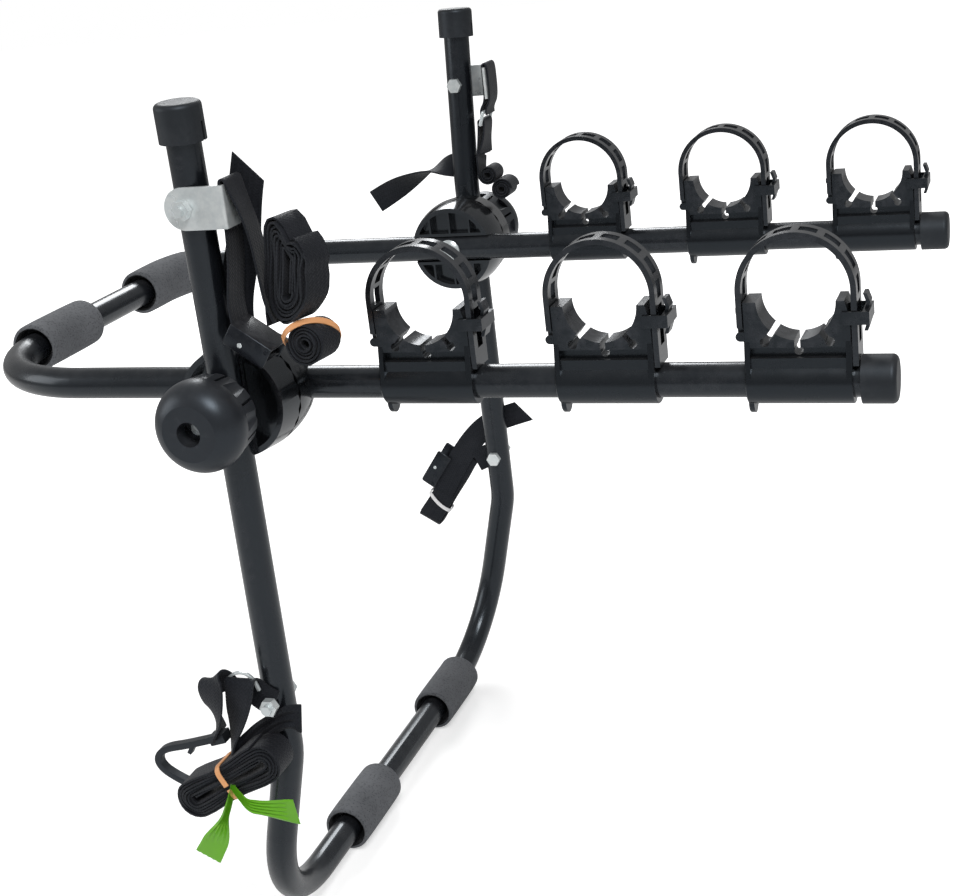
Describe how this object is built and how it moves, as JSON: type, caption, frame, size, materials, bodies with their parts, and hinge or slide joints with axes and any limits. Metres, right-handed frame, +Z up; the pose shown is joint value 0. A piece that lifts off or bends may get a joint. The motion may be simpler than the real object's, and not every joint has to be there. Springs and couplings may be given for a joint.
{
  "type": "trunk bike rack",
  "caption": "Folding trunk mounted bike rack with bent tube legs and arms, toothed hubs, grip knobs and strapped cradles",
  "frame": {"origin": "on the axis of the two hubs, midway between the sides", "axes": "+X away from the car along the arms, +Y to the right for someone who faces the car, +Z up"},
  "size_m": [0.7871, 0.6806, 0.7251],
  "materials": {
    "tube": "charcoal powder coat, semi gloss",
    "cap": "moulded, fine matte texture",
    "foam": "closed cell foam, matte with fine pores",
    "hub": "glossy moulded black",
    "knob": "satin moulded dark grey",
    "cradle": "satin moulded black",
    "ladder": "smooth shiny rubber",
    "zinc": "bright zinc plate, slightly blue",
    "webbing": "woven black webbing",
    "buckle": "painted dark, satin",
    "hook": "rubber coated",
    "orange_band": "thin elastic, satin",
    "white_band": "thin elastic, satin",
    "ribbon": "soft green film, satin"
  },
  "bodies": {
    "legs": {"leg_frame": "tube", "leg_caps": "cap", "left_leg_pad": "foam", "right_leg_pad": "foam", "left_outer_disc": "hub", "right_outer_disc": "hub", "saddle_spacers": "cap", "anchor_bolts": "zinc", "anchor_nuts": "zinc"},
    "arms": {"arm_frame": "tube", "arm_caps": "cap", "left_arm_pad": "foam", "right_arm_pad": "foam", "left_inner_disc": "hub", "right_inner_disc": "hub", "left_hub_bolt": "zinc", "right_hub_bolt": "zinc", "left_cradle_1": "cradle", "left_cradle_2": "cradle", "left_cradle_3": "cradle", "right_cradle_1": "cradle", "right_cradle_2": "cradle", "right_cradle_3": "cradle"},
    "left_washer_body": {"left_washer": "zinc"},
    "left_knob_body": {"left_knob": "knob", "left_knob_nut": "zinc"},
    "left_ladder_1": {"left_ladder_strap_1": "ladder"},
    "left_ladder_2": {"left_ladder_strap_2": "ladder"},
    "left_ladder_3": {"left_ladder_strap_3": "ladder"},
    "right_washer_body": {"right_washer": "zinc"},
    "right_knob_body": {"right_knob": "knob", "right_knob_nut": "zinc"},
    "right_ladder_1": {"right_ladder_strap_1": "ladder"},
    "right_ladder_2": {"right_ladder_strap_2": "ladder"},
    "right_ladder_3": {"right_ladder_strap_3": "ladder"},
    "left_upper_anchor": {"left_upper_bracket": "zinc", "left_upper_web": "webbing", "left_upper_tail": "webbing", "left_upper_bundle": "webbing", "left_upper_roll": "webbing", "left_upper_band": "orange_band", "left_upper_buckle": "buckle"},
    "left_upper_lever_body": {"left_upper_lever": "buckle"},
    "right_upper_anchor": {"right_upper_bracket": "zinc", "right_upper_web": "webbing", "right_upper_ring": "zinc", "right_upper_strap": "webbing", "right_upper_rolls": "webbing", "right_upper_tail": "webbing"},
    "left_lower_anchor": {"left_lower_web": "webbing", "left_lower_bundle": "webbing", "left_lower_band": "orange_band", "left_lower_hook": "hook", "ribbons": "ribbon"},
    "right_lower_anchor": {"right_lower_web": "webbing", "right_lower_bundle": "webbing", "right_lower_band": "white_band", "right_lower_buckle": "buckle"},
    "right_lower_lever_body": {"right_lower_lever": "buckle"}
  },
  "joints": [
    {"name": "arms_fold", "type": "hinge", "parent": "legs", "child": "arms", "pos_m": [0, 0, 0], "axis": [0, 1, 0], "range_deg": [-80, 85]},
    {"name": "left_washer_slide", "type": "slide", "parent": "arms", "child": "left_washer_body", "axis": [0, -1, 0], "range_m": [0, 0.006]},
    {"name": "left_knob_turn", "type": "hinge", "parent": "left_washer_body", "child": "left_knob_body", "pos_m": [0, -0.318, 0], "axis": [0, -1, 0], "range_deg": [0, 1440]},
    {"name": "left_ladder_swing_1", "type": "hinge", "parent": "arms", "child": "left_ladder_1", "pos_m": [0.1045, -0.218, 0.0345], "axis": [0, -1, 0], "range_deg": [0, 60]},
    {"name": "left_ladder_swing_2", "type": "hinge", "parent": "arms", "child": "left_ladder_2", "pos_m": [0.2425, -0.218, 0.0345], "axis": [0, -1, 0], "range_deg": [0, 60]},
    {"name": "left_ladder_swing_3", "type": "hinge", "parent": "arms", "child": "left_ladder_3", "pos_m": [0.3805, -0.218, 0.0345], "axis": [0, -1, 0], "range_deg": [0, 60]},
    {"name": "right_washer_slide", "type": "slide", "parent": "arms", "child": "right_washer_body", "axis": [0, 1, 0], "range_m": [0, 0.006]},
    {"name": "right_knob_turn", "type": "hinge", "parent": "right_washer_body", "child": "right_knob_body", "pos_m": [0, 0.318, 0], "axis": [0, 1, 0], "range_deg": [0, 1440]},
    {"name": "right_ladder_swing_1", "type": "hinge", "parent": "arms", "child": "right_ladder_1", "pos_m": [0.1045, 0.218, 0.0345], "axis": [0, -1, 0], "range_deg": [0, 60]},
    {"name": "right_ladder_swing_2", "type": "hinge", "parent": "arms", "child": "right_ladder_2", "pos_m": [0.2425, 0.218, 0.0345], "axis": [0, -1, 0], "range_deg": [0, 60]},
    {"name": "right_ladder_swing_3", "type": "hinge", "parent": "arms", "child": "right_ladder_3", "pos_m": [0.3805, 0.218, 0.0345], "axis": [0, -1, 0], "range_deg": [0, 60]},
    {"name": "left_upper_swing", "type": "hinge", "parent": "legs", "child": "left_upper_anchor", "pos_m": [0.00288, -0.28148, 0.155], "axis": [0, -1, 0], "range_deg": [0, 20]},
    {"name": "right_upper_swing", "type": "hinge", "parent": "legs", "child": "right_upper_anchor", "pos_m": [0.00288, 0.28148, 0.155], "axis": [0, -1, 0], "range_deg": [0, 15]},
    {"name": "left_lower_swing", "type": "hinge", "parent": "legs", "child": "left_lower_anchor", "pos_m": [0, -0.276, -0.246], "axis": [0, 1, 0], "range_deg": [-10, 15]},
    {"name": "right_lower_swing", "type": "hinge", "parent": "legs", "child": "right_lower_anchor", "pos_m": [0, 0.276, -0.246], "axis": [0, 1, 0], "range_deg": [-15, 15]},
    {"name": "left_upper_lever_lift", "type": "hinge", "parent": "left_upper_anchor", "child": "left_upper_lever_body", "pos_m": [0.0285, -0.28258, 0.05391], "axis": [0, 1, 0], "range_deg": [0, 40]},
    {"name": "right_lower_lever_lift", "type": "hinge", "parent": "right_lower_anchor", "child": "right_lower_lever_body", "pos_m": [-0.08102, 0.3015, -0.26619], "axis": [0, 1, 0], "range_deg": [0, 60]}
  ],
  "couplings": [
    {"joint": "left_washer_slide", "follows": "left_knob_turn", "m_per_rad": 0.00023873},
    {"joint": "right_washer_slide", "follows": "right_knob_turn", "m_per_rad": 0.00023873}
  ]
}
